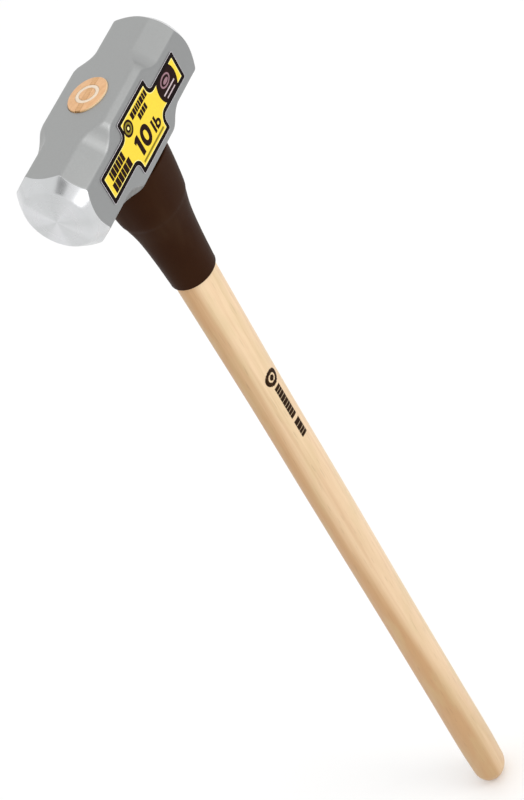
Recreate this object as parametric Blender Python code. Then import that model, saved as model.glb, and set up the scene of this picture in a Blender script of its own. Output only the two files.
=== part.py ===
"""Ten-pound double-faced sledge hammer with an oval hickory handle.

Frame: +Z runs up the handle axis, and the origin is the centre of the butt end.
X is the striking axis, from face to face. The front cheek, with the label, faces -Y.
All lengths are in metres.
"""
from math import asin, cos, hypot, pi, sin

import bmesh
import bpy

MM = 0.001

# Whole tool
OVERALL_LENGTH = 914 * MM
FIT_GAP = 0.3 * MM              # clearance between pieces that touch or are cut to fit
AROUND = 56                     # points around an oval or turned section

# Head
HEAD_LENGTH = 187 * MM          # face to face
HEAD_WIDTH = 62 * MM            # cheek to cheek
HEAD_HEIGHT = 67 * MM           # underside to top
TENON_PROUD = 1.2 * MM          # wood standing above the head's top
WAIST_HALF = 30 * MM            # half the length of the square middle
WAIST_LEG = 5.2 * MM            # corner chamfer's leg at the square middle
SCOOP_RUN = 12 * MM             # length of the slope from the small chamfer to the large one
SCOOP_FOOT = 0.25               # share of that slope over which its foot is rounded
SCOOP_STEPS = 6
END_LEG_Y = 16 * MM             # corner chamfer's leg along Y on the octagonal ends
END_LEG_Z = 15 * MM             # and along Z

# Turned striking faces
FACE_FLAT_RADIUS = 9 * MM       # flat centre of the crowned face
FACE_RADIUS = 26.6 * MM         # where the crown meets the bevel's rounded rim
FACE_CROWN = 2.2 * MM           # height of the crown
CROWN_STEPS = 4
RIM_ROUND = 1.6 * MM            # how far the rim's round reaches, in and back
BEVEL_START = 84.3 * MM         # X where the bevel cone crosses the top flat
CONE_OUTER_RADIUS = 48 * MM     # clear of the octagon's corners

# Eye through the head, an oval hourglass: half length along X, half width along Y
EYE_TOP = (18.4 * MM, 15.5 * MM)
EYE_MIDDLE = (17.3 * MM, 13.9 * MM)
EYE_BOTTOM = (19.4 * MM, 16.0 * MM)

# Handle: height above the butt, half length along X; half width is a fixed share of that
HANDLE_ASPECT = 0.87
BUTT_FLAT_RADIUS = 5 * MM
BUTT_DOME = 20 * MM             # height of the domed butt
BUTT_STEPS = 9
HANDLE_STATIONS = (
    (20 * MM, 18.2 * MM),       # top of the butt's dome
    (60 * MM, 18.9 * MM),       # swell that stops the hand
    (150 * MM, 18.4 * MM),
    (280 * MM, 18.1 * MM),      # grip
    (450 * MM, 18.4 * MM),
    (580 * MM, 18.2 * MM),
    (680 * MM, 19.1 * MM),
    (725 * MM, 19.6 * MM),      # just below the guard
    (760 * MM, 19.8 * MM),
    (836 * MM, 20.3 * MM),      # top of the shoulder
)
STEPS_PER_STATION = 3
SHOULDER_STEP = 6 * MM          # height of the slope from the shoulder to the tenon

# Wooden wedge, in a kerf along the oval's length
WEDGE_TOP_THICKNESS = 4.2 * MM
WEDGE_TIP_THICKNESS = 1.0 * MM
WEDGE_DEPTH = 42 * MM
WEDGE_TOP_HALF_LENGTH = 17.4 * MM
WEDGE_TIP_HALF_LENGTH = 16.2 * MM

# Round steel wedge
RING_OUTER_RADIUS = 9.5 * MM
RING_TOP_WALL = 2.9 * MM
RING_TIP_WALL = 0.7 * MM
RING_DEPTH = 12 * MM
RING_AROUND = 40

# Overstrike guard: distance below the head, half length, half width, squareness of the oval
GUARD_LENGTH = 115 * MM
GUARD_STATIONS = (
    (0 * MM, 33.6 * MM, 27.9 * MM, 2.4),
    (14 * MM, 33.0 * MM, 27.5 * MM, 2.35),
    (30 * MM, 31.5 * MM, 26.6 * MM, 2.3),
    (41 * MM, 30.1 * MM, 25.6 * MM, 2.25),     # lower edge of the collar
    (45 * MM, 28.8 * MM, 24.6 * MM, 2.2),      # top of the sleeve
    (62 * MM, 25.4 * MM, 21.9 * MM, 2.1),
    (86 * MM, 23.1 * MM, 20.1 * MM, 2.05),
    (113 * MM, 21.7 * MM, 18.9 * MM, 2.0),
)
GUARD_LIP_ROUND = 0.5 * MM

# Label on the front cheek: a wide middle with a narrow tab at each end
LABEL_THICKNESS = 0.25 * MM
LABEL_HALF_LENGTH = 66.5 * MM
LABEL_CENTRE = 0.5 * MM         # height of its middle above the head's
LABEL_TAB_HEIGHT = 25 * MM
LABEL_MIDDLE_HALF_LENGTH = 24.3 * MM
LABEL_MIDDLE_HEIGHT = 47.5 * MM
LABEL_OUTER_CORNER = 1.8 * MM
LABEL_INNER_CORNER = 4.5 * MM
LABEL_CORNER_STEPS = 5

# Worked out from the above
HEAD_TOP = OVERALL_LENGTH - TENON_PROUD
HEAD_BOTTOM = HEAD_TOP - HEAD_HEIGHT
HEAD_MIDDLE = (HEAD_TOP + HEAD_BOTTOM) / 2
HALF_WIDTH = HEAD_WIDTH / 2
HALF_HEIGHT = HEAD_HEIGHT / 2
HALF_LENGTH = HEAD_LENGTH / 2
CUT_OVERRUN = 5 * MM            # how far a cutter runs past the piece it cuts


def clear_scene():
    for thing in list(bpy.data.objects):
        bpy.data.objects.remove(thing, do_unlink=True)


def make_material(name, color, roughness, metallic):
    material = bpy.data.materials.new(name)
    material.use_nodes = True
    shader = material.node_tree.nodes["Principled BSDF"]
    shader.inputs["Base Color"].default_value = (*color, 1.0)
    shader.inputs["Roughness"].default_value = roughness
    shader.inputs["Metallic"].default_value = metallic
    material.diffuse_color = (*color, 1.0)
    return material


def make_object(name, mesh_data, material=None, smooth_angle=None):
    mesh = bpy.data.meshes.new(name)
    bmesh.ops.recalc_face_normals(mesh_data, faces=mesh_data.faces)
    mesh_data.to_mesh(mesh)
    mesh_data.free()
    if material:
        mesh.materials.append(material)
    if smooth_angle:
        mesh.shade_smooth()
        mesh.set_sharp_from_angle(angle=smooth_angle)
    thing = bpy.data.objects.new(name, mesh)
    bpy.context.scene.collection.objects.link(thing)
    return thing


def loft(rings, ring_shaped=False):
    """A closed skin through rings of points. A ring-shaped loft joins its last ring to its first."""
    skin = bmesh.new()
    rows = [[skin.verts.new(point) for point in ring] for ring in rings]
    pairs = list(zip(rows, rows[1:]))
    if ring_shaped:
        pairs.append((rows[-1], rows[0]))
    else:
        skin.faces.new(rows[0])
        skin.faces.new(rows[-1])
    for lower, upper in pairs:
        for i in range(len(lower)):
            j = (i + 1) % len(lower)
            skin.faces.new((lower[i], lower[j], upper[j], upper[i]))
    return skin


def oval(z, half_x, half_y, squareness=2.0):
    """Points of a level oval; squareness 2 is an ellipse, and more is boxier."""
    points = []
    for i in range(AROUND):
        c = cos(2 * pi * i / AROUND)
        s = sin(2 * pi * i / AROUND)
        x = half_x * abs(c) ** (2 / squareness) * (1 if c >= 0 else -1)
        y = half_y * abs(s) ** (2 / squareness) * (1 if s >= 0 else -1)
        points.append((x, y, z))
    return points


def rectangle(z, half_x, half_y):
    return [(-half_x, -half_y, z), (half_x, -half_y, z), (half_x, half_y, z), (-half_x, half_y, z)]


def cut(piece, cutter, operation):
    cutter.hide_render = True
    cutter.display_type = "WIRE"
    modifier = piece.modifiers.new(operation.title(), "BOOLEAN")
    modifier.operation = operation
    modifier.object = cutter
    modifier.solver = "EXACT"


# ---------------------------------------------------------------- head

def octagon(x, leg_y, leg_z):
    """Head section at x: a rectangle whose corners are chamfered by the two legs."""
    y, z = HALF_WIDTH, HALF_HEIGHT
    outline = (
        (y, leg_z - z), (y, z - leg_z), (y - leg_y, z), (leg_y - y, z),
        (-y, z - leg_z), (-y, leg_z - z), (leg_y - y, -z), (y - leg_y, -z),
    )
    return [(x, point_y, HEAD_MIDDLE + point_z) for point_y, point_z in outline]


def scoop_share(x):
    """How far the chamfer has grown at x: an even slope from the waist, with a rounded foot."""
    climbed = max(0.0, (x - WAIST_HALF) / SCOOP_RUN)
    overlap = max(0.0, 1 - abs(climbed - 1) / SCOOP_FOOT)
    return min(climbed, 1.0) - overlap * overlap * SCOOP_FOOT / 4


def head_sections():
    """Sections of the right half, from the square middle out to past the face."""
    foot = SCOOP_RUN * SCOOP_FOOT
    foot_start = WAIST_HALF + SCOOP_RUN - foot
    stations = [WAIST_HALF]
    stations += [foot_start + 2 * foot * i / SCOOP_STEPS for i in range(SCOOP_STEPS + 1)]
    stations.append(HALF_LENGTH + CUT_OVERRUN)
    sections = []
    for x in stations:
        share = scoop_share(x)
        leg_y = WAIST_LEG + (END_LEG_Y - WAIST_LEG) * share
        leg_z = WAIST_LEG + (END_LEG_Z - WAIST_LEG) * share
        sections.append((x, leg_y, leg_z))
    return sections


def face_profile():
    """Radius and X of the turned end, from the face's flat centre out past the corners."""
    profile = []
    for i in range(CROWN_STEPS + 1):
        share = i / CROWN_STEPS
        radius = FACE_FLAT_RADIUS + (FACE_RADIUS - FACE_FLAT_RADIUS) * share
        profile.append((radius, HALF_LENGTH - FACE_CROWN * share ** 1.8))
    rim_radius, rim_x = profile[-1]
    bevel_radius = rim_radius + RIM_ROUND * 0.7
    bevel_x = rim_x - RIM_ROUND * 0.6
    slope = (HALF_HEIGHT - bevel_radius) / (bevel_x - BEVEL_START)
    profile.append((bevel_radius, bevel_x))
    profile.append((CONE_OUTER_RADIUS, bevel_x - (CONE_OUTER_RADIUS - bevel_radius) / slope))
    return profile


def turned_envelope():
    """Solid of revolution about the striking axis that bevels both ends."""
    right = face_profile()
    left = [(radius, -x) for radius, x in right]
    rings = []
    for radius, x in left + right[::-1]:
        angles = [2 * pi * (i + 0.5) / AROUND for i in range(AROUND)]
        rings.append([(x, radius * cos(a), HEAD_MIDDLE + radius * sin(a)) for a in angles])
    return loft(rings)


def eye_section(z):
    """Half axes of the eye at height z, narrowest in the middle of the head."""
    end = EYE_TOP if z >= HEAD_MIDDLE else EYE_BOTTOM
    share = min(1.0, abs(z - HEAD_MIDDLE) / HALF_HEIGHT)
    return tuple(mid + (far - mid) * share for mid, far in zip(EYE_MIDDLE, end))


def eye_heights():
    return [HEAD_BOTTOM, HEAD_MIDDLE, HEAD_TOP]


def build_head(material):
    right = head_sections()
    left = [(-x, leg_y, leg_z) for x, leg_y, leg_z in right[::-1]]
    head = make_object("head", loft([octagon(*s) for s in left + right]), material, pi / 7)
    cut(head, make_object("bevel_envelope_cutter", turned_envelope()), "INTERSECT")

    rings = [oval(z, *eye_section(z)) for z in eye_heights()]
    rings.insert(0, oval(HEAD_BOTTOM - CUT_OVERRUN, *EYE_BOTTOM))
    rings.append(oval(HEAD_TOP + CUT_OVERRUN, *EYE_TOP))
    cut(head, make_object("eye_cutter", loft(rings)), "DIFFERENCE")


# ---------------------------------------------------------------- handle

def handle_half_length(z):
    """Half length of the handle's oval at height z, eased between its stations."""
    for (low, low_size), (high, high_size) in zip(HANDLE_STATIONS, HANDLE_STATIONS[1:]):
        if z <= high:
            share = max(0.0, (z - low) / (high - low))
            eased = share * share * (3 - 2 * share)
            return low_size + (high_size - low_size) * eased
    return HANDLE_STATIONS[-1][1]


def butt_rings():
    """The domed end: a quarter of an ellipse in height, cut off at a small flat."""
    full = HANDLE_STATIONS[0][1]
    start = asin(BUTT_FLAT_RADIUS / full)
    rings = []
    for i in range(BUTT_STEPS):
        angle = start + (pi / 2 - start) * i / BUTT_STEPS
        half_x = full * sin(angle)
        height = BUTT_DOME * (1 - cos(angle) / cos(start))
        rings.append(oval(height, half_x, half_x * HANDLE_ASPECT))
    return rings


def shaft_rings():
    rings = []
    for (low, _), (high, _) in zip(HANDLE_STATIONS, HANDLE_STATIONS[1:]):
        for i in range(STEPS_PER_STATION):
            z = low + (high - low) * i / STEPS_PER_STATION
            half_x = handle_half_length(z)
            rings.append(oval(z, half_x, half_x * HANDLE_ASPECT))
    top, half_x = HANDLE_STATIONS[-1]
    rings.append(oval(top, half_x, half_x * HANDLE_ASPECT))
    return rings


def tenon_rings():
    """The end of the handle that fills the eye, FIT_GAP clear of its wall."""
    rings = []
    shoulder_top = HANDLE_STATIONS[-1][0] + SHOULDER_STEP
    for z in [shoulder_top] + eye_heights() + [OVERALL_LENGTH]:
        half_x, half_y = eye_section(z)
        rings.append(oval(z, half_x - FIT_GAP, half_y - FIT_GAP))
    return rings


def wedge_solid():
    """Flat wooden wedge, its thin edge down."""
    tip = OVERALL_LENGTH - WEDGE_DEPTH
    sizes = (
        (tip, WEDGE_TIP_HALF_LENGTH, WEDGE_TIP_THICKNESS / 2),
        (OVERALL_LENGTH, WEDGE_TOP_HALF_LENGTH, WEDGE_TOP_THICKNESS / 2),
    )
    return loft([rectangle(z, x, y) for z, x, y in sizes])


def kerf_solid():
    """Saw cut for the wooden wedge: right across the tenon, FIT_GAP wider on every side."""
    tip = OVERALL_LENGTH - WEDGE_DEPTH - FIT_GAP
    top = OVERALL_LENGTH + CUT_OVERRUN
    taper = (WEDGE_TOP_THICKNESS - WEDGE_TIP_THICKNESS) / 2 / WEDGE_DEPTH
    half_tip = WEDGE_TIP_THICKNESS / 2 + FIT_GAP
    half_length = EYE_TOP[0] + CUT_OVERRUN
    low = rectangle(tip, half_length, half_tip)
    high = rectangle(top, half_length, half_tip + taper * (top - tip))
    return loft([low, high])


def ring_solid(extra=0.0, overrun=0.0):
    """Tapered steel ring, thick at the top; grown by extra it is the groove that holds it."""
    top = OVERALL_LENGTH
    tip = OVERALL_LENGTH - RING_DEPTH
    tip_mid = RING_OUTER_RADIUS - RING_TOP_WALL / 2
    wider = extra + (RING_TOP_WALL - RING_TIP_WALL) / 2 / RING_DEPTH * overrun
    profile = (
        (RING_OUTER_RADIUS + wider, top + overrun),
        (tip_mid + RING_TIP_WALL / 2 + extra, tip - extra),
        (tip_mid - RING_TIP_WALL / 2 - extra, tip - extra),
        (RING_OUTER_RADIUS - RING_TOP_WALL - wider, top + overrun),
    )
    rings = []
    for radius, z in profile:
        angles = [2 * pi * (i + 0.5) / RING_AROUND for i in range(RING_AROUND)]
        rings.append([(radius * cos(a), radius * sin(a), z) for a in angles])
    return loft(rings, ring_shaped=True)


def build_handle(material, groove):
    rings = butt_rings() + shaft_rings() + tenon_rings()
    handle = make_object("handle", loft(rings), material, pi / 6)
    cut(handle, make_object("kerf_cutter", kerf_solid()), "DIFFERENCE")
    cut(handle, groove, "DIFFERENCE")


def build_wedges(wood, steel, groove):
    wooden = make_object("wooden_wedge", wedge_solid(), wood)
    cut(wooden, groove, "DIFFERENCE")
    make_object("ring_wedge", ring_solid(), steel, pi / 6)


# ---------------------------------------------------------------- guard

def guard_bore(bottom, top):
    """Rings of the bore, which follows the handle and stays straight above its shoulder."""
    low = HANDLE_STATIONS[-2][0]
    shoulder = HANDLE_STATIONS[-1][0]
    heights = [bottom]
    heights += [low + (shoulder - low) * i / STEPS_PER_STATION for i in range(STEPS_PER_STATION + 1)]
    rings = []
    for z in heights + [top]:
        half_x = handle_half_length(min(z, shoulder))
        rings.append(oval(z, half_x + FIT_GAP, half_x * HANDLE_ASPECT + FIT_GAP))
    return rings


def build_guard(material):
    """Sleeve under the head: a wide collar, a step, and a taper down to a thin lip."""
    top = HEAD_BOTTOM - FIT_GAP
    bottom = top - GUARD_LENGTH
    outer = [oval(top - below, a, b, power) for below, a, b, power in GUARD_STATIONS]
    _, lip_x, lip_y, _ = GUARD_STATIONS[-1]
    outer.append(oval(bottom, lip_x - GUARD_LIP_ROUND, lip_y - GUARD_LIP_ROUND))
    rings = outer + guard_bore(bottom, top)
    make_object("overstrike_guard", loft(rings, ring_shaped=True), material, pi / 5)


# ---------------------------------------------------------------- label

def rounded_outline(corners):
    """Outline through (x, z, radius) corners, each rounded by an arc of that radius."""
    outline = []
    count = len(corners)
    for i, (x, z, radius) in enumerate(corners):
        before = corners[i - 1]
        after = corners[(i + 1) % count]
        ways = []
        for other_x, other_z, _ in (before, after):
            length = hypot(other_x - x, other_z - z)
            ways.append(((other_x - x) / length, (other_z - z) / length))
        # All corners are square, so the arc's centre is one radius along both sides.
        centre_x = x + radius * (ways[0][0] + ways[1][0])
        centre_z = z + radius * (ways[0][1] + ways[1][1])
        for step in range(LABEL_CORNER_STEPS + 1):
            angle = pi / 2 * step / LABEL_CORNER_STEPS
            outline.append((
                centre_x - radius * (ways[1][0] * cos(angle) + ways[0][0] * sin(angle)),
                centre_z - radius * (ways[1][1] * cos(angle) + ways[0][1] * sin(angle)),
            ))
    return outline


def label_corners():
    tab_x, tab_z = LABEL_HALF_LENGTH, LABEL_TAB_HEIGHT / 2
    mid_x, mid_z = LABEL_MIDDLE_HALF_LENGTH, LABEL_MIDDLE_HEIGHT / 2
    outer, inner = LABEL_OUTER_CORNER, LABEL_INNER_CORNER
    upper_right = [(tab_x, tab_z, outer), (mid_x, tab_z, inner), (mid_x, mid_z, outer)]
    upper_left = [(-x, z, radius) for x, z, radius in upper_right[::-1]]
    upper = upper_right + upper_left
    return upper + [(x, -z, radius) for x, z, radius in upper[::-1]]


def build_label(material):
    back = -HALF_WIDTH - FIT_GAP
    front = back - LABEL_THICKNESS
    outline = rounded_outline(label_corners())
    centre = HEAD_MIDDLE + LABEL_CENTRE
    rings = [[(x, y, centre + z) for x, z in outline] for y in (back, front)]
    make_object("label", loft(rings), material)


def build_sledge():
    clear_scene()
    steel_paint = make_material("silver_grey_paint", (0.40, 0.42, 0.42), 0.38, 0.55)
    hickory = make_material("hickory", (0.78, 0.56, 0.33), 0.42, 0.0)
    wedge_wood = make_material("wedge_wood", (0.72, 0.42, 0.18), 0.55, 0.0)
    bare_steel = make_material("bare_steel", (0.62, 0.62, 0.60), 0.28, 1.0)
    brown_plastic = make_material("brown_plastic", (0.045, 0.022, 0.013), 0.42, 0.0)
    label_film = make_material("label_film", (0.90, 0.68, 0.06), 0.30, 0.0)

    build_head(steel_paint)
    groove = make_object("ring_groove_cutter", ring_solid(FIT_GAP, CUT_OVERRUN))
    build_handle(hickory, groove)
    build_wedges(wedge_wood, bare_steel, groove)
    build_guard(brown_plastic)
    build_label(label_film)


build_sledge()
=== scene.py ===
"""Looks of a ten-pound double-faced sledge hammer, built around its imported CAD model.

Frame: +Z runs up the handle, and the origin is the centre of the butt end. X is the
striking axis, and the front cheek, with the label, faces -Y. All lengths are in metres.
"""
import random
from math import asin, cos, hypot, pi, radians, sin

import bmesh
import bpy
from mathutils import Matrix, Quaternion, Vector, noise
from mathutils.geometry import delaunay_2d_cdt


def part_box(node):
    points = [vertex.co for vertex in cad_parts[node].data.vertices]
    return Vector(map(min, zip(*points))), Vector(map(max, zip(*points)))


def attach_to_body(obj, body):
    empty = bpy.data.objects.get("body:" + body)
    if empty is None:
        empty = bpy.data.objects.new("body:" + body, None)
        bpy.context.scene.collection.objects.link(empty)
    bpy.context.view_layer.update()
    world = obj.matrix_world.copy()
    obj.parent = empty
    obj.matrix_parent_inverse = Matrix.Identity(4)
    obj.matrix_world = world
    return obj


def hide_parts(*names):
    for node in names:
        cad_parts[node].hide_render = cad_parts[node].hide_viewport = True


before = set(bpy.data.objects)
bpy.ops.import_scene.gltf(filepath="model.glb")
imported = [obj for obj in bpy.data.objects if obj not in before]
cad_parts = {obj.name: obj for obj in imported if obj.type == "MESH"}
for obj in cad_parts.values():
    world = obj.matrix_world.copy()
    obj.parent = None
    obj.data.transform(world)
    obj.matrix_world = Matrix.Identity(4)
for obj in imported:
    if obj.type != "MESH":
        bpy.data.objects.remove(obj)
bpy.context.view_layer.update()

MM = 0.001

# ---------------------------------------------------------------- sizes from the frame

head_low, head_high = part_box("head")
_, handle_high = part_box("handle")
guard_low, guard_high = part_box("overstrike_guard")
label_low, label_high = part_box("label")
ring_low, ring_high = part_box("ring_wedge")
wedge_low, wedge_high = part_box("wooden_wedge")

HEAD_TOP = head_high.z
HEAD_BOTTOM = head_low.z
HEAD_MIDDLE = (HEAD_TOP + HEAD_BOTTOM) / 2
HALF_HEIGHT = (HEAD_TOP - HEAD_BOTTOM) / 2
HALF_WIDTH = head_high.y
HALF_LENGTH = head_high.x
LABEL_MIDDLE = (label_low.z + label_high.z) / 2
TOOL_TOP = handle_high.z

# ---------------------------------------------------------------- sizes of the shapes

# Head: a square middle whose corner chamfers scoop out to an octagonal end
HEAD_AROUND = 320
WAIST_HALF = 30 * MM
WAIST_LEG = 5.2 * MM
WAIST_ROWS = 8
SCOOP_RUN = 12 * MM             # length of the slope from the small chamfer to the large one
SCOOP_BROW = 0.30               # share of that slope over which its start is rounded
SCOOP_FOOT = 0.60               # and over which its foot is
SCOOP_ROWS = 40
END_LEG_Y = 16 * MM
END_LEG_Z = 15 * MM
END_ROWS = 14
EDGE_SOFTNESS = 1.5 * MM        # how far apart two faces still blend at a forged edge
FORGED_DEPTH = 0.12 * MM        # unevenness left by the forging dies
FORGED_SIZE = 28 * MM

# Head: ground bevel and crowned striking face
TAPER = 0.957                   # bevel's fall in radius for each metre along X
BEVEL_START = 84.3 * MM         # X where the bevel meets the middle of the top
BEVEL_SOFTNESS = 0.5 * MM
BEVEL_BLEND = 0.7 * MM
COATED_EDGE = (-1.0, -0.6, -0.3, 0.0)   # rows of the blend on the coated side, in BEVEL_BLENDs
GROUND_EDGE = (0.3, 0.6)                # and on the ground side
BEVEL_ROWS = 8
RIM_OUTER = 28.3 * MM           # the rim's round runs between these two radii
RIM_CORNER = 26.86 * MM
RIM_INNER = 25.6 * MM
RIM_ROWS = 7
FACE_RADIUS = 26.6 * MM
FACE_FLAT_RADIUS = 9 * MM
FACE_CROWN = 2.2 * MM
CROWN_POWER = 1.8
CROWN_ROWS = 10

# Eye through the head: half length along X, half width along Y
EYE_TOP = (18.4 * MM, 15.5 * MM)
EYE_MIDDLE = (17.3 * MM, 13.9 * MM)
EYE_BOTTOM = (19.4 * MM, 16.0 * MM)
EYE_LIP = 0.4 * MM
EYE_GAP = 0.15 * MM
CUT_OVERRUN = 5 * MM

# Handle
OVAL_AROUND = 112
HANDLE_ASPECT = 0.87
BUTT_FLAT_RADIUS = 5 * MM
BUTT_DOME = 20 * MM
BUTT_ROWS = 14
HANDLE_STATIONS = (             # height above the butt, half length of the oval along X
    (20 * MM, 18.2 * MM),
    (60 * MM, 18.9 * MM),
    (150 * MM, 18.4 * MM),
    (280 * MM, 18.1 * MM),
    (450 * MM, 18.4 * MM),
    (580 * MM, 18.2 * MM),
    (680 * MM, 19.1 * MM),
    (725 * MM, 19.6 * MM),
    (760 * MM, 19.8 * MM),
    (836 * MM, 20.3 * MM),
)
HANDLE_ROW = 7 * MM
SHOULDER_STEP = 6 * MM
TENON_ROUND = 0.9 * MM

# Print: a ringed disc on the handle, and plain blocks on the handle and the label
PRINT_ANGLE = radians(-97)      # around the handle, from +X
PRINT_HALF_ANGLE = radians(11.5)
PRINT_ROWS = (                  # along the handle: from, to, number of blocks
    (558.5 * MM, 596.4 * MM, 9),
    (535.3 * MM, 554.7 * MM, 4),
)
MARK_HEIGHT = 606.5 * MM
MARK_RADIUS = 7.8 * MM
MARK_HOLE_RADIUS = 4.2 * MM
MARK_DOT_RADIUS = 2.6 * MM
MARK_CURVE = 17.6 * MM          # radius of the handle's side there
MARK_STEPS = 16                 # level strips that make up the disc
MARK_STRIP_SHARE = 0.98         # share of a step that its strip fills
BLOCK_GAP = 0.45 * MM
INK_LIFT = 0.05 * MM            # the ink reaches this far above and below the wood's skin
INK_COLUMN = radians(3)         # about the size of the faces that follow the handle
INK_ROW = 2 * MM

# Wedges
WEDGE_TIP_THICKNESS = 1.0 * MM
WEDGE_TIP_SHARE = 0.92          # length at the tip as a share of the length at the top
KERF_GAP = 0.2 * MM
RING_TOP_WALL = 2.9 * MM
RING_TIP_WALL = 0.7 * MM
RING_AROUND = 72
RING_ROUND = 0.35 * MM

# Guard: distance below its top, half length, half width, squareness of the oval
GUARD_STATIONS = (
    (0 * MM, 33.6 * MM, 27.9 * MM, 2.4),
    (14 * MM, 33.0 * MM, 27.5 * MM, 2.35),
    (30 * MM, 31.5 * MM, 26.6 * MM, 2.3),
    (41 * MM, 30.1 * MM, 25.6 * MM, 2.25),
    (45 * MM, 28.8 * MM, 24.6 * MM, 2.2),
    (62 * MM, 25.4 * MM, 21.9 * MM, 2.1),
    (86 * MM, 23.1 * MM, 20.1 * MM, 2.05),
    (113 * MM, 21.7 * MM, 18.9 * MM, 2.0),
)
GUARD_ROW = 1.6 * MM
GUARD_TOP_ROUND = 0.8 * MM
GUARD_LIP = 0.6 * MM
BORE_GAP = 0.3 * MM
BORE_ROWS = 40

# Label on the front cheek: a wide middle with a tab at each end
LABEL_MIDDLE_HALF_LENGTH = 24.3 * MM
LABEL_TAB_HALF_HEIGHT = 12.5 * MM
LABEL_OUTER_CORNER = 1.8 * MM
LABEL_INNER_CORNER = 4.5 * MM
LABEL_LEAST_CORNER = 0.5 * MM
LABEL_MARGIN = 0.25 * MM        # unprinted edge of the film
LABEL_BORDER = 3.3 * MM
LABEL_PALE_LINE = 0.6 * MM

# Studio
FLOOR_RADIUS = 25
SKY_STRENGTH = 1.05
SKY_PATCHES = (                 # direction, inner and outer angle, brightness
    ((-0.74, -0.10, 0.64), radians(7), radians(13), 0.12),
    ((-0.75, -0.65, 0.07), radians(9), radians(20), 2.4),
)

# Camera, matched to the photograph's viewing angle
CAMERA_AIM = Vector((-4.3 * MM, 4.5 * MM, 580.4 * MM))
CAMERA_DISTANCE = 1726.06 * MM
CAMERA_AZIMUTH = radians(-46.229)
CAMERA_ELEVATION = radians(41.197)
CAMERA_ROLL = radians(31.173)
CAMERA_LENS_MM = 95.19
SENSOR_MM = 36.0

SHARP_ANGLE = radians(35)       # two faces that meet at more than this keep a hard edge

dice = random.Random(10)


# ---------------------------------------------------------------- mesh tools

def link_mesh(name, skin, materials, sharp_angle=SHARP_ANGLE):
    """A smooth-shaded object made from a bmesh, with its faces pointing out."""
    mesh = bpy.data.meshes.new(name)
    bmesh.ops.recalc_face_normals(skin, faces=skin.faces)
    skin.to_mesh(mesh)
    skin.free()
    for material in materials:
        mesh.materials.append(material)
    mesh.shade_smooth()
    mesh.set_sharp_from_angle(angle=sharp_angle)
    thing = bpy.data.objects.new(name, mesh)
    bpy.context.scene.collection.objects.link(thing)
    return thing


def loft(rings, ring_shaped=False, finish=None):
    """A closed skin through rings of points. finish(row) gives a row's material index."""
    skin = bmesh.new()
    rows = [[skin.verts.new(point) for point in ring] for ring in rings]
    pairs = list(zip(rows, rows[1:]))
    if ring_shaped:
        pairs.append((rows[-1], rows[0]))
    else:
        for row, end in ((0, rows[0]), (len(pairs) - 1, rows[-1])):
            cap = skin.faces.new(end)
            cap.material_index = finish(row) if finish else 0
    for row, (lower, upper) in enumerate(pairs):
        for i in range(len(lower)):
            j = (i + 1) % len(lower)
            face = skin.faces.new((lower[i], lower[j], upper[j], upper[i]))
            face.material_index = finish(row) if finish else 0
    return skin


def carve(piece, cutters):
    """Cuts the cutters out of the piece, and removes them. The result is a plain mesh."""
    for cutter in cutters:
        modifier = piece.modifiers.new("cut", "BOOLEAN")
        modifier.operation = "DIFFERENCE"
        modifier.object = cutter
        modifier.solver = "EXACT"
    graph = bpy.context.evaluated_depsgraph_get()
    carved = bpy.data.meshes.new_from_object(piece.evaluated_get(graph), depsgraph=graph)
    piece.modifiers.clear()
    old = piece.data
    piece.data = carved
    bpy.data.meshes.remove(old)
    carved.shade_smooth()
    carved.set_sharp_from_angle(angle=SHARP_ANGLE)


def discard(things):
    for thing in things:
        bpy.data.objects.remove(thing, do_unlink=True)


def spread(start, end, steps):
    """Evenly spaced values from start up to, but not including, end."""
    return [start + (end - start) * i / steps for i in range(steps)]


def soft_min(a, b, reach):
    """The smaller of a and b, rounded off where they are within reach of each other."""
    overlap = max(reach - abs(a - b), 0.0) / reach
    return min(a, b) - overlap * overlap * reach / 4


def oval_point(turn, half_x, half_y, squareness):
    """A point of an oval; squareness 2 is an ellipse, and more is boxier."""
    c, s = cos(turn), sin(turn)
    x = half_x * abs(c) ** (2 / squareness) * (1 if c >= 0 else -1)
    y = half_y * abs(s) ** (2 / squareness) * (1 if s >= 0 else -1)
    return x, y


def oval(z, half_x, half_y, squareness=2.0, around=OVAL_AROUND):
    """Points of a level oval at height z."""
    turns = [2 * pi * i / around for i in range(around)]
    return [(*oval_point(turn, half_x, half_y, squareness), z) for turn in turns]


def eased(stations, at):
    """The row of values at a place along the stations, on a smooth curve through them."""
    last = len(stations) - 1
    k = max(i for i in range(last) if at >= stations[i][0] or i == 0)
    span = stations[k + 1][0] - stations[k][0]
    t = min(max((at - stations[k][0]) / span, 0.0), 1.0)

    def slope(i, column):
        before, after = stations[max(i - 1, 0)], stations[min(i + 1, last)]
        return (after[column] - before[column]) / (after[0] - before[0])

    values = []
    for column in range(1, len(stations[0])):
        low, high = stations[k][column], stations[k + 1][column]
        values.append(
            low * (1 + 2 * t) * (1 - t) ** 2
            + high * t * t * (3 - 2 * t)
            + slope(k, column) * span * t * (1 - t) ** 2
            - slope(k + 1, column) * span * t * t * (1 - t)
        )
    return values


def attach(piece, slot, *nodes):
    """Every piece rides on the one body, and most stand for a CAD node."""
    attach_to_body(piece, "root")
    if nodes:
        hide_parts(*nodes)


# ---------------------------------------------------------------- materials

def feed(tree, socket, value):
    """Links another node's output to the socket, or sets the socket's own value."""
    if isinstance(value, bpy.types.NodeSocket):
        tree.links.new(value, socket)
    else:
        socket.default_value = value


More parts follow.
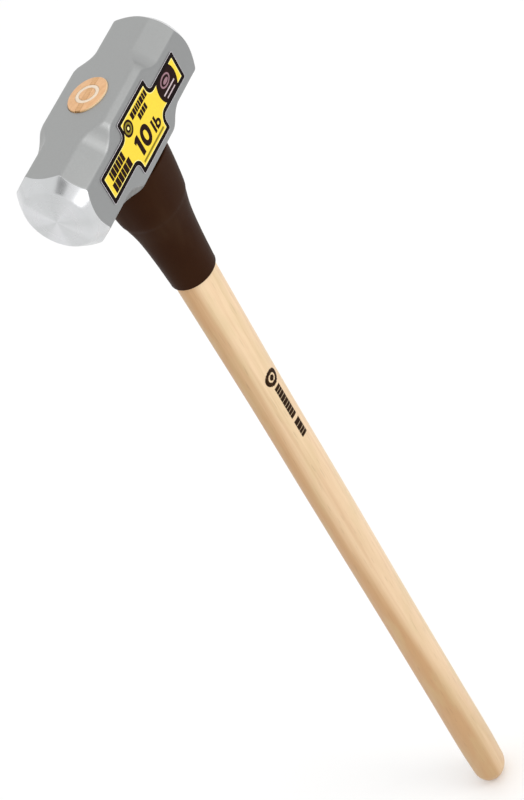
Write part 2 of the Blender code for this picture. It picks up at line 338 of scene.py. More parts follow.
class Recipe:
    """A procedural material: its Principled shader, and the nodes that feed it."""

    def __init__(self, name):
        self.material = bpy.data.materials.new(name)
        self.material.use_nodes = True
        self.tree = self.material.node_tree
        self.shader = self.tree.nodes["Principled BSDF"]
        self.place = self.node("TexCoord").outputs["Object"]

    def node(self, kind, inputs=None, **settings):
        made = self.tree.nodes.new("ShaderNode" + kind)
        for key, value in settings.items():
            setattr(made, key, value)
        for key, value in (inputs or {}).items():
            feed(self.tree, made.inputs[key], value)
        return made

    def shade(self, **values):
        """Sets the shader's sockets, named with _ for a space."""
        for key, value in values.items():
            feed(self.tree, self.shader.inputs[key.replace("_", " ")], value)

    def math(self, operation, a, b=0.0):
        return self.node("Math", {0: a, 1: b}, operation=operation).outputs[0]

    def stretched(self, scale, offset=(0.0, 0.0, 0.0)):
        inputs = {"Vector": self.place, "Scale": scale, "Location": offset}
        return self.node("Mapping", inputs).outputs[0]

    def noise(self, vector, scale=1.0, detail=2.0, roughness=0.5):
        inputs = {"Vector": vector, "Scale": scale, "Detail": detail, "Roughness": roughness}
        return self.node("TexNoise", inputs).outputs["Fac"]

    def ramp(self, value, low, high, to_low=0.0, to_high=1.0):
        inputs = {"Value": value, "From Min": low, "From Max": high,
                  "To Min": to_low, "To Max": to_high}
        return self.node("MapRange", inputs, interpolation_type="SMOOTHSTEP").outputs[0]

    def mix(self, factor, a, b):
        made = self.node("Mix", {"Factor": factor}, data_type="RGBA")
        feed(self.tree, made.inputs[6], a)
        feed(self.tree, made.inputs[7], b)
        return made.outputs[2]

    def bump(self, height, distance, strength=1.0, under=None):
        inputs = {"Height": height, "Distance": distance, "Strength": strength}
        if under:
            inputs["Normal"] = under
        return self.node("Bump", inputs).outputs[0]


def rgb(red, green, blue):
    return (red, green, blue, 1.0)


def satin_steel():
    """Forged body under a thin silver-grey coat: fine blast texture, and painted shade that darkens
    the cheeks.
    """
    m = Recipe("satin_steel")
    clouds = m.noise(m.place, 24, detail=3)
    speckle = m.noise(m.place, 900, detail=2, roughness=0.6)
    grit = m.noise(m.place, 1700, detail=1)
    tone = m.mix(clouds, rgb(0.318, 0.324, 0.322), rgb(0.355, 0.358, 0.353))
    color = m.mix(m.ramp(speckle, 0.35, 0.75, 0.0, 0.3), tone, rgb(0.41, 0.42, 0.42))
    depth = m.math("ABSOLUTE", m.node("SeparateXYZ", {"Vector": m.place}).outputs[1])
    # Painted shade: the cheeks, the faces at ±Y, are mixed towards a deeper grey.
    cheek_painted_shade = m.ramp(depth, HALF_WIDTH - 1.2 * MM, HALF_WIDTH - 0.4 * MM, 0.0, 0.45)
    m.shade(Base_Color=m.mix(cheek_painted_shade, color, rgb(0.20, 0.205, 0.21)), Metallic=0.75)
    m.shade(Roughness=m.ramp(m.math("ADD", clouds, speckle), 0.7, 1.3, 0.38, 0.50))
    blasted = m.bump(m.math("ADD", speckle, grit), 0.10 * MM, 0.4)
    m.shade(Normal=m.bump(clouds, 0.5 * MM, 0.3, under=blasted))
    return m.material


def ground_steel():
    """Bevel and face as they leave the lathe: bare, with fine rings and a faint painted fan of
    reflection.
    """
    m = Recipe("ground_steel")
    split = m.node("SeparateXYZ", {"Vector": m.place}).outputs
    across = m.node("CombineXYZ", {1: split[1], 2: m.math("SUBTRACT", split[2], HEAD_MIDDLE)})
    radius = m.node("VectorMath", {0: across.outputs[0]}, operation="LENGTH").outputs["Value"]
    ring_place = m.node("CombineXYZ", {0: radius, 1: split[0]}).outputs[0]
    rings = m.noise(ring_place, 1500, detail=3, roughness=0.7)
    bands = m.noise(ring_place, 150, detail=1)
    clouds = m.noise(m.place, 45, detail=3)
    # Painted reflection: brightness changes slowly around the striking axis, standing in for the
    # fan of highlights on the lathed bevel and face.
    around = m.node("VectorMath", {0: across.outputs[0]}, operation="NORMALIZE").outputs[0]
    fan_reflection = m.noise(around, 1.3, detail=1)
    clouds_and_fan_reflection = m.math("ADD", m.math("MULTIPLY", clouds, 0.3), m.math("MULTIPLY", fan_reflection, 0.7))
    tone = m.mix(m.ramp(clouds_and_fan_reflection, 0.30, 0.70), rgb(0.59, 0.60, 0.605), rgb(0.71, 0.715, 0.73))
    m.shade(Base_Color=m.mix(m.ramp(rings, 0.5, 0.8, 0.0, 0.3), tone, rgb(0.52, 0.52, 0.53)))
    m.shade(Metallic=1.0, Anisotropic=0.75, Anisotropic_Rotation=0.25)
    m.shade(Roughness=m.ramp(m.math("ADD", bands, clouds), 0.7, 1.3, 0.24, 0.34))
    m.shade(Normal=m.bump(rings, 0.012 * MM, 0.3))
    tangent = m.node("Tangent", direction_type="RADIAL", axis="X").outputs[0]
    m.shade(Tangent=tangent)
    return m.material


def growth_rings(m, pith, ring_width):
    """Bands of late wood about the pith, as the trunk grew them: 0 early wood, 1 late."""
    drift = m.noise(m.stretched((9, 9, 1.6)), detail=2)
    split = m.node("SeparateXYZ", {"Vector": m.place}).outputs
    from_pith = m.node("CombineXYZ", {
        0: m.math("SUBTRACT", split[0], pith[0]),
        1: m.math("SUBTRACT", split[1], pith[1]),
    }).outputs[0]
    distance = m.node("VectorMath", {0: from_pith}, operation="LENGTH").outputs["Value"]
    wandering = m.math("ADD", distance, m.math("MULTIPLY", drift, 9 * MM))
    ring = m.math("FRACT", m.math("DIVIDE", wandering, ring_width))
    return m.math("MULTIPLY", m.ramp(ring, 0.2, 0.9), m.ramp(ring, 1.0, 0.9))


def end_grain_share(m):
    """1 where the surface cuts across the grain, 0 along the sides."""
    normal = m.node("NewGeometry").outputs["Normal"]
    facing = m.node("SeparateXYZ", {"Vector": normal}).outputs[2]
    return m.ramp(m.math("ABSOLUTE", facing), 0.6, 0.98)


def hickory():
    """Lacquered hickory: pale sapwood in front; browner heartwood tone with painted shade to -X and
    behind, the unlit sides; browner and darker towards the butt.
    """
    m = Recipe("hickory")
    band = growth_rings(m, (0.06, 0.13), 4.2 * MM)
    split = m.node("SeparateXYZ", {"Vector": m.place}).outputs
    fibre = m.noise(m.stretched((1100, 1100, 22)), detail=2, roughness=0.6)
    streak = m.noise(m.stretched((150, 150, 3.0)), detail=3, roughness=0.55)
    mottle = m.noise(m.stretched((70, 70, 14), (0.7, 0.2, 0.4)), detail=3)
    pores = m.noise(m.stretched((900, 900, 45), (3.1, 7.7, 0)), detail=1)

    sapwood = m.mix(mottle, rgb(0.710, 0.515, 0.320), rgb(0.790, 0.580, 0.365))
    # Heartwood tone and painted shade: the browner wood is laid on the -X side and behind, away
    # from the key light, and spreads towards the butt.
    heartwood_and_shade = m.mix(mottle, rgb(0.420, 0.225, 0.090), rgb(0.560, 0.325, 0.145))
    lean = m.math("SUBTRACT", split[0], m.math("MULTIPLY", split[1], 0.6))
    lean = m.math("SUBTRACT", lean, m.ramp(split[2], 0.46, 0.08, 0.0, 13 * MM))
    lean = m.math("ADD", lean, m.math("MULTIPLY", streak, 12 * MM))
    color = m.mix(m.ramp(lean, -1 * MM, -13 * MM), sapwood, heartwood_and_shade)
    color = m.mix(m.math("MULTIPLY", band, 0.20), color, rgb(0.50, 0.30, 0.14))
    color = m.mix(m.ramp(streak, 0.50, 0.80, 0.0, 0.40), color, rgb(0.52, 0.29, 0.15))
    color = m.mix(m.ramp(mottle, 0.55, 0.35, 0.0, 0.25), color, rgb(0.60, 0.48, 0.24))
    color = m.mix(m.ramp(fibre, 0.5, 0.85, 0.0, 0.25), color, rgb(0.45, 0.26, 0.12))
    # Darker and browner towards the butt.
    darker_toward_butt = m.ramp(split[2], 0.24, 0.02, 0.0, 0.35)
    color = m.mix(darker_toward_butt, color, rgb(0.46, 0.28, 0.13))

    speck = m.noise(m.stretched((260, 260, 260)), detail=2)
    end_tone = m.mix(speck, rgb(0.80, 0.48, 0.25), rgb(0.62, 0.33, 0.14))
    end_tone = m.mix(m.math("MULTIPLY", band, 0.15), end_tone, rgb(0.48, 0.23, 0.09))
    on_top = m.math("MULTIPLY", end_grain_share(m), m.ramp(split[2], 0.5, 0.6))
    color = m.mix(on_top, color, end_tone)
    pore = m.ramp(pores, 0.64, 0.76, 0.0, 0.22)
    m.shade(Base_Color=m.mix(pore, color, rgb(0.20, 0.10, 0.04)))
    m.shade(Roughness=m.ramp(fibre, 0.3, 0.8, 0.36, 0.50))
    relief = m.math("SUBTRACT", m.math("MULTIPLY", fibre, 0.5), pore)
    m.shade(Normal=m.bump(relief, 0.05 * MM, 0.5))
    return m.material


def poplar():
    """The flat wedge: plain hardwood, of which little but the end grain shows."""
    m = Recipe("wedge_poplar")
    band = growth_rings(m, (0.20, 0.02), 2.1 * MM)
    fibre = m.noise(m.stretched((1200, 1200, 30)), detail=2, roughness=0.6)
    speck = m.noise(m.stretched((300, 300, 300)), detail=2)
    side = m.mix(fibre, rgb(0.62, 0.38, 0.18), rgb(0.46, 0.25, 0.10))
    end = m.mix(speck, rgb(0.72, 0.42, 0.20), rgb(0.54, 0.28, 0.11))
    color = m.mix(end_grain_share(m), side, end)
    m.shade(Base_Color=m.mix(m.math("MULTIPLY", band, 0.2), color, rgb(0.40, 0.19, 0.07)))
    m.shade(Roughness=m.ramp(speck, 0.3, 0.7, 0.50, 0.65))
    m.shade(Normal=m.bump(m.math("ADD", fibre, speck), 0.08 * MM, 0.5))
    return m.material


def wedge_steel():
    """The ring's top edge, in bright warm cream tones."""
    m = Recipe("wedge_steel")
    clouds = m.noise(m.place, 220, detail=3)
    scratches = m.noise(m.stretched((2400, 300, 300)), detail=2)
    m.shade(Base_Color=m.mix(clouds, rgb(0.70, 0.56, 0.42), rgb(0.90, 0.77, 0.62)))
    m.shade(Metallic=0.5, Roughness=m.ramp(clouds, 0.3, 0.7, 0.34, 0.50))
    m.shade(Normal=m.bump(m.math("ADD", clouds, scratches), 0.10 * MM, 0.6))
    return m.material


def guard_rubber():
    """Dark brown moulded rubber: fine leathery grain, warmer where it is thin or rubbed."""
    m = Recipe("guard_rubber")
    clouds = m.noise(m.place, 34, detail=3)
    grain = m.noise(m.place, 1300, detail=2, roughness=0.6)
    flow = m.noise(m.stretched((60, 60, 12)), detail=3)
    tone = m.mix(clouds, rgb(0.022, 0.0055, 0.0010), rgb(0.031, 0.0110, 0.0030))
    m.shade(Base_Color=m.mix(m.ramp(flow, 0.55, 0.8, 0.0, 0.5), tone, rgb(0.038, 0.017, 0.007)))
    m.shade(Roughness=m.ramp(m.math("ADD", grain, flow), 0.7, 1.3, 0.44, 0.58))
    m.shade(Specular_IOR_Level=0.045)
    m.shade(Normal=m.bump(grain, 0.05 * MM, 0.5))
    return m.material


def ink(name, tone, worn_tone):
    """Printed vinyl: slight mottle in the ink, a soft gloss, and faint ripples in the film."""
    m = Recipe(name)
    mottle = m.noise(m.place, 1100, detail=2, roughness=0.7)
    ripple = m.noise(m.place, 60, detail=2)
    m.shade(Base_Color=m.mix(m.ramp(mottle, 0.45, 0.8, 0.0, 0.6), tone, worn_tone))
    m.shade(Roughness=m.ramp(mottle, 0.3, 0.7, 0.32, 0.44), Specular_IOR_Level=0.035)
    m.shade(Normal=m.bump(ripple, 0.25 * MM, 0.25))
    return m.material


def stamped_ink():
    """Brown ink stamped on the handle, thin where it skipped over the wood's grain."""
    m = Recipe("stamped_ink")
    fibre = m.noise(m.stretched((1300, 1300, 60)), detail=2)
    blot = m.noise(m.place, 420, detail=2)
    skipped = m.ramp(m.math("ADD", fibre, m.math("MULTIPLY", blot, 0.6)), 0.92, 1.08, 0.0, 0.6)
    m.shade(Base_Color=m.mix(skipped, rgb(0.020, 0.0070, 0.0010), rgb(0.090, 0.042, 0.013)))
    m.shade(Roughness=m.ramp(fibre, 0.3, 0.8, 0.50, 0.62), Specular_IOR_Level=0.06)
    m.shade(Normal=m.bump(fibre, 0.04 * MM, 0.5))
    return m.material


def floor_finish():
    m = Recipe("floor_paint")
    clouds = m.noise(m.place, 1.3, detail=2)
    fine = m.noise(m.place, 60, detail=2)
    m.shade(Base_Color=m.mix(clouds, rgb(0.92, 0.92, 0.92), rgb(0.95, 0.95, 0.945)))
    m.shade(Roughness=m.ramp(fine, 0.3, 0.7, 0.75, 0.9), Specular_IOR_Level=0.1)
    m.shade(Normal=m.bump(fine, 0.05 * MM, 0.2))
    return m.material


# ---------------------------------------------------------------- head

def section_radius(angle, leg_y, leg_z):
    """From the striking axis to the skin of an octagonal section, in one direction."""
    y, z = abs(cos(angle)), abs(sin(angle))
    chamfer_support = HALF_WIDTH * leg_z + (HALF_HEIGHT - leg_z) * leg_y
    chamfer = chamfer_support / (y * leg_z + z * leg_y)
    cheek = HALF_WIDTH / y if y > MM else 1.0
    top = HALF_HEIGHT / z if z > MM else 1.0
    return soft_min(soft_min(cheek, chamfer, EDGE_SOFTNESS), top, EDGE_SOFTNESS)


def bevel_radius(x):
    return HALF_HEIGHT - (x - BEVEL_START) * TAPER


def crown_x(radius):
    share = (radius - FACE_FLAT_RADIUS) / (FACE_RADIUS - FACE_FLAT_RADIUS)
    return HALF_LENGTH - FACE_CROWN * max(share, 0.0) ** CROWN_POWER


def scoop_share(x):
    """How far the chamfer has grown at x: an even slope with a rounded brow and foot."""
    climbed = (x - WAIST_HALF) / SCOOP_RUN
    return -soft_min(-soft_min(climbed, 1.0, SCOOP_FOOT), 0.0, SCOOP_BROW)


def coated_strip(angle):
    """(x, radius) along one strip of the coated body, from mid-length to the bevel's edge."""
    end = section_radius(angle, END_LEG_Y, END_LEG_Z)
    edge = BEVEL_START + (HALF_HEIGHT - end) / TAPER
    brow = WAIST_HALF - SCOOP_RUN * SCOOP_BROW
    foot = WAIST_HALF + SCOOP_RUN * (1 + SCOOP_FOOT)
    stations = spread(0, brow, WAIST_ROWS) + spread(brow, foot, SCOOP_ROWS)
    strip = []
    for x in stations + spread(foot, edge - BEVEL_BLEND, END_ROWS):
        share = scoop_share(x)
        leg_y = WAIST_LEG + (END_LEG_Y - WAIST_LEG) * share
        leg_z = WAIST_LEG + (END_LEG_Z - WAIST_LEG) * share
        strip.append((x, section_radius(angle, leg_y, leg_z)))
    for share in COATED_EDGE:
        x = edge + share * BEVEL_BLEND
        strip.append((x, soft_min(end, bevel_radius(x), BEVEL_SOFTNESS)))
    return strip


def ground_strip(angle):
    """(x, radius) on from the coated strip, over the bevel and rim to the face's flat."""
    end = section_radius(angle, END_LEG_Y, END_LEG_Z)
    edge = BEVEL_START + (HALF_HEIGHT - end) / TAPER
    rim_start = BEVEL_START + (HALF_HEIGHT - RIM_OUTER) / TAPER
    strip = []
    for share in GROUND_EDGE:
        x = edge + share * BEVEL_BLEND
        strip.append((x, soft_min(end, bevel_radius(x), BEVEL_SOFTNESS)))
    strip += [(x, bevel_radius(x)) for x in spread(edge + BEVEL_BLEND, rim_start, BEVEL_ROWS)]
    corner_x = BEVEL_START + (HALF_HEIGHT - RIM_CORNER) / TAPER
    corners = ((rim_start, RIM_OUTER), (corner_x, RIM_CORNER), (crown_x(RIM_INNER), RIM_INNER))
    for t in spread(0, 1, RIM_ROWS):
        weights = ((1 - t) ** 2, 2 * t * (1 - t), t * t)
        strip.append(tuple(sum(w * c[k] for w, c in zip(weights, corners)) for k in (0, 1)))
    for radius in spread(RIM_INNER, FACE_FLAT_RADIUS, CROWN_ROWS) + [FACE_FLAT_RADIUS]:
        strip.append((crown_x(radius), radius))
    return strip


def head_rings():
    """Rings of the head's skin from the left face to the right, and how many are coated."""
    angles = [2 * pi * (i + 0.5) / HEAD_AROUND for i in range(HEAD_AROUND)]
    coated = [coated_strip(angle) for angle in angles]
    ground = [ground_strip(angle) for angle in angles]
    coated_rows = len(coated[0])
    forged_rows = coated_rows - len(COATED_EDGE) - 1    # the bevel's edge stays true
    strips = [near + far for near, far in zip(coated, ground)]
    rings = []
    for row in range(len(strips[0])):
        for side in ((-1, 1) if row else (1,)):
            ring = []
            for angle, strip in zip(angles, strips):
                x, radius = strip[row]
                point = Vector((side * x, radius * cos(angle), radius * sin(angle)))
                if row < forged_rows:
                    dent = (1 + noise.noise(point / FORGED_SIZE)) / 2
                    radius -= FORGED_DEPTH * dent
                ring.append((side * x, radius * cos(angle), HEAD_MIDDLE + radius * sin(angle)))
            rings.insert(len(rings) if side > 0 else 0, ring)
    return rings, coated_rows


def eye_section(z):
    """Half axes of the eye at height z, narrowest in the middle of the head."""
    end = EYE_TOP if z >= HEAD_MIDDLE else EYE_BOTTOM
    share = min(1.0, abs(z - HEAD_MIDDLE) / HALF_HEIGHT)
    return [mid + (far - mid) * share for mid, far in zip(EYE_MIDDLE, end)]


def eye_cutter():
    """The eye's shape with a small rounded lip at both mouths."""
    lip = []                # how far inside the mouth, and how much wider it is there
    for turn in spread(0, pi / 2, 6):
        lip.append((EYE_LIP * (1 - cos(turn)), EYE_LIP * (1 - sin(turn))))
    rings = []
    for wall, mouth, sign in ((HEAD_BOTTOM, EYE_BOTTOM, 1), (HEAD_TOP, EYE_TOP, -1)):
        level = [oval(wall - sign * CUT_OVERRUN, mouth[0] + EYE_LIP, mouth[1] + EYE_LIP)]
        for inward, outward in lip:
            half_x, half_y = eye_section(wall + sign * inward)
            level.append(oval(wall + sign * inward, half_x + outward, half_y + outward))
        half_x, half_y = eye_section(wall + sign * EYE_LIP)
        level.append(oval(wall + sign * EYE_LIP, half_x, half_y))
        rings.append(level)
    bottom, top = rings
    middle = [oval(HEAD_MIDDLE, *EYE_MIDDLE)]
    return link_mesh("eye_cutter", loft(bottom + middle + top[::-1]), [])


def build_head():
    rings, coated_rows = head_rings()
    middle = (len(rings) - 1) / 2

    def finish(row):
        return 0 if abs(row + 0.5 - middle) < coated_rows - 1 else 1

    head = link_mesh("forged_head", loft(rings, finish=finish), [satin_steel(), ground_steel()])
    cutter = eye_cutter()
    carve(head, [cutter])
    discard([cutter])
    attach(head, "head_steel", "head")


# ---------------------------------------------------------------- handle and wedges

def handle_oval(z):
    half_x = eased(HANDLE_STATIONS, z)[0]
    return half_x, half_x * HANDLE_ASPECT


def handle_rings():
    rings = []
    full = HANDLE_STATIONS[0][1]
    start = asin(BUTT_FLAT_RADIUS / full)
    for turn in spread(start, pi / 2, BUTT_ROWS):
        half_x = full * sin(turn)
        z = BUTT_DOME * (1 - cos(turn) / cos(start))
        rings.append(oval(z, half_x, half_x * HANDLE_ASPECT))
    low, high = HANDLE_STATIONS[0][0], HANDLE_STATIONS[-1][0]
    for z in spread(low, high, round((high - low) / HANDLE_ROW)) + [high]:
        rings.append(oval(z, *handle_oval(z)))
    tenon_heights = spread(high + SHOULDER_STEP, TOOL_TOP - TENON_ROUND, 10)
    for z in tenon_heights + [TOOL_TOP - TENON_ROUND]:
        half_x, half_y = eye_section(z)
        rings.append(oval(z, half_x - EYE_GAP, half_y - EYE_GAP))
    half_x, half_y = eye_section(TOOL_TOP)
    for turn in (pi / 6, pi / 3, pi / 2):
        inset = EYE_GAP + TENON_ROUND * (1 - cos(turn))
        z = TOOL_TOP - TENON_ROUND * (1 - sin(turn))
        rings.append(oval(z, half_x - inset, half_y - inset))
    return rings


def rectangle(z, half_x, half_y):
    return [(-half_x, -half_y, z), (half_x, -half_y, z), (half_x, half_y, z), (-half_x, half_y, z)]


def wedge_shape(gap, overrun):
    """The flat wedge, or with a gap the kerf that holds it."""
    top_half = wedge_high.y
    slope = (top_half - WEDGE_TIP_THICKNESS / 2) / (wedge_high.z - wedge_low.z)
    low_z, high_z = wedge_low.z - gap, wedge_high.z + overrun
    length = wedge_high.x + (CUT_OVERRUN if gap else 0.0)
    tip_length = length if gap else length * WEDGE_TIP_SHARE
    return loft([
        rectangle(low_z, tip_length, WEDGE_TIP_THICKNESS / 2 + gap),
        rectangle(high_z, length, top_half + gap + slope * overrun),
    ])


def ring_shape(gap=0.0, overrun=0.0):
    """The tapered steel ring, or with a gap the groove that holds it."""
    top, tip = ring_high.z, ring_low.z
    outer = ring_high.x
    inner = outer - RING_TOP_WALL
    tip_mid = (outer + inner) / 2
    soft = 0.0 if gap else RING_ROUND
    wider = gap + (RING_TOP_WALL - RING_TIP_WALL) / 2 / (top - tip) * overrun
    profile = [
        (outer + wider, top + overrun - soft),
        (tip_mid + RING_TIP_WALL / 2 + gap, tip - gap),
        (tip_mid - RING_TIP_WALL / 2 - gap, tip - gap),
        (inner - wider, top + overrun - soft),
    ]
    if not gap:
        profile += [
            (inner + soft * 0.3, top - soft * 0.3),
            (inner + soft, top),
            (outer - soft, top),
            (outer - soft * 0.3, top - soft * 0.3),
        ]
    rings = []
    for radius, z in profile:
        rings.append(oval(z, radius, radius, around=RING_AROUND))
    return loft(rings, ring_shaped=True)


def build_handle_and_wedges():
    handle = link_mesh("hickory_handle", loft(handle_rings()), [hickory()])
    kerf = link_mesh("kerf_cutter", wedge_shape(KERF_GAP, CUT_OVERRUN), [])
    groove = link_mesh("groove_cutter", ring_shape(KERF_GAP, CUT_OVERRUN), [])
    carve(handle, [kerf, groove])
    attach(handle, "hickory", "handle")

    wedge = link_mesh("kerf_wedge", wedge_shape(0.0, 0.0), [poplar()])
    carve(wedge, [groove])
    attach(wedge, "wedge_wood", "wooden_wedge")
    discard([kerf, groove])

    ring = link_mesh("steel_ring_wedge", ring_shape(), [wedge_steel()])
    attach(ring, "bare_steel", "ring_wedge")


def uneven_blocks(start, end, count):
    """Where count blocks of uneven length begin and end, with a gap after each."""
    shares = [dice.uniform(0.75, 1.25) for _ in range(count)]
    edges = [start + (end - start) * sum(shares[:i]) / sum(shares) for i in range(count + 1)]
    return [(low, high - BLOCK_GAP) for low, high in zip(edges, edges[1:])]


def print_patch(skin, low_angle, high_angle, low_z, high_z):
    """A thin closed patch of ink lying on the handle, between two angles and two heights."""
    columns = max(2, round((high_angle - low_angle) / INK_COLUMN))
    rows = max(1, round((high_z - low_z) / INK_ROW))
    layers = []
    for lift in (-INK_LIFT, INK_LIFT):
        layer = []
        for i in range(columns + 1):
            angle = low_angle + (high_angle - low_angle) * i / columns
            line = []
            for j in range(rows + 1):
                z = low_z + (high_z - low_z) * j / rows
                half_x, half_y = handle_oval(z)
                point = ((half_x + lift) * cos(angle), (half_y + lift) * sin(angle), z)
                line.append(skin.verts.new(point))
            layer.append(line)
        layers.append(layer)
    low, high = layers
    for i in range(columns):
        for j in range(rows):
            for layer in (low, high):
                skin.faces.new((layer[i][j], layer[i + 1][j], layer[i + 1][j + 1], layer[i][j + 1]))
    border = [(i, 0) for i in range(columns)] + [(columns, j) for j in range(rows)]
    border += [(i, rows) for i in range(columns, 0, -1)] + [(0, j) for j in range(rows, 0, -1)]
    for (a, b), (c, d) in zip(border, border[1:] + border[:1]):
        skin.faces.new((low[a][b], low[c][d], high[c][d], high[a][b]))


def build_handle_print():
    """A plain stamped mark and two rows of blocks, where the handle carries its print."""
    skin = bmesh.new()
    middle, half = PRINT_ANGLE, PRINT_HALF_ANGLE
    for start, end, blocks in PRINT_ROWS:
        for low_z, high_z in uneven_blocks(start, end, blocks):
            print_patch(skin, middle - half, middle + half, low_z, high_z)
    for i in range(MARK_STEPS):
        low_z = MARK_HEIGHT - MARK_RADIUS + 2 * MARK_RADIUS * i / MARK_STEPS
        high_z = low_z + 2 * MARK_RADIUS / MARK_STEPS * MARK_STRIP_SHARE
        off = (low_z + high_z) / 2 - MARK_HEIGHT
        outer, hole, dot = (
            max(radius ** 2 - off ** 2, 0.0) ** 0.5 / MARK_CURVE
            for radius in (MARK_RADIUS, MARK_HOLE_RADIUS, MARK_DOT_RADIUS)
        )
        if hole:
            print_patch(skin, middle - outer, middle - hole, low_z, high_z)
            print_patch(skin, middle + hole, middle + outer, low_z, high_z)
        else:
            print_patch(skin, middle - outer, middle + outer, low_z, high_z)
        if dot:
            print_patch(skin, middle - dot, middle + dot, low_z, high_z)
    mark = link_mesh("handle_print", skin, [stamped_ink()])
    attach(mark, "hickory")


# ---------------------------------------------------------------- guard

def build_guard():
    """Sleeve under the head: a wide collar, a step, and a taper down to a thin lip."""
    top, bottom = guard_high.z, guard_low.z
    length = top - bottom
    rings = []
    for turn in spread(0, pi / 2, 4):
        half_x, half_y, power = eased(GUARD_STATIONS, 0.0)
        inset = GUARD_TOP_ROUND * (1 - sin(turn))
        z = top - GUARD_TOP_ROUND * (1 - cos(turn))
        rings.append(oval(z, half_x - inset, half_y - inset, power))
    low = length - GUARD_LIP
    for below in spread(GUARD_TOP_ROUND, low, round(low / GUARD_ROW)):
        half_x, half_y, power = eased(GUARD_STATIONS, below)
        rings.append(oval(top - below, half_x, half_y, power))
    half_x, half_y, power = eased(GUARD_STATIONS, low)
    for turn in (0.0, pi / 6, pi / 3, pi / 2):
        inset = GUARD_LIP * (1 - cos(turn))
        z = bottom + GUARD_LIP * (1 - sin(turn))
        rings.append(oval(z, half_x - inset, half_y - inset, power))
    shoulder = HANDLE_STATIONS[-1][0]
    for z in spread(bottom, shoulder, BORE_ROWS) + [shoulder, top]:
        half_x, half_y = handle_oval(min(z, shoulder))
        rings.append(oval(z, half_x + BORE_GAP, half_y + BORE_GAP))
    guard = link_mesh("guard_sleeve", loft(rings, ring_shaped=True), [guard_rubber()])
    attach(guard, "guard_plastic", "overstrike_guard")


# ---------------------------------------------------------------- label

def rounded_outline(corners):
    """Outline through (x, z, radius) square corners, each rounded by an arc."""
    outline = []
    for i, (x, z, radius) in enumerate(corners):
        ways = []
        for other_x, other_z, _ in (corners[i - 1], corners[(i + 1) % len(corners)]):
            length = hypot(other_x - x, other_z - z)
            ways.append(((other_x - x) / length, (other_z - z) / length))
        (back_x, back_z), (on_x, on_z) = ways
        centre = (x + radius * (back_x + on_x), z + radius * (back_z + on_z))
        for turn in spread(0, pi / 2, 6) + [pi / 2]:
            outline.append((
                centre[0] - radius * (on_x * cos(turn) + back_x * sin(turn)),
                centre[1] - radius * (on_z * cos(turn) + back_z * sin(turn)),
            ))
    return outline


def label_outline(inset):
    """The label's own outline, drawn in by inset on every side."""
    tab_x, tab_z = label_high.x - inset, LABEL_TAB_HALF_HEIGHT - inset
    mid_x = LABEL_MIDDLE_HALF_LENGTH - inset
    mid_z = label_high.z - LABEL_MIDDLE - inset
    outer = max(LABEL_OUTER_CORNER - inset, LABEL_LEAST_CORNER)
    inner = LABEL_INNER_CORNER + inset
    right = [(tab_x, tab_z, outer), (mid_x, tab_z, inner), (mid_x, mid_z, outer)]
    upper = right + [(-x, z, radius) for x, z, radius in right[::-1]]
    return rounded_outline(upper + [(x, -z, radius) for x, z, radius in upper[::-1]])


def disc(x, z, half_x, half_z, limit=1.0, steps=40, squareness=2.0):
    """A round outline, cut off flat where it would pass limit above or below the middle."""
    points = []
    for i in range(steps):
        off_x, off_z = oval_point(2 * pi * i / steps, half_x, half_z, squareness)
        points.append((x + off_x, max(-limit, min(limit, z + off_z))))
    return points


def block(low_x, low_z, high_x, high_z):
    return [(low_x, low_z), (high_x, low_z), (high_x, high_z), (low_x, high_z)]


def block_row(low_x, high_x, low_z, high_z, count):
    """A row of plain blocks, where the real label has a line of print."""
    blocks = uneven_blocks(low_x, high_x, count)
    return [("brown", block(left, low_z, right, high_z)) for left, right in blocks]


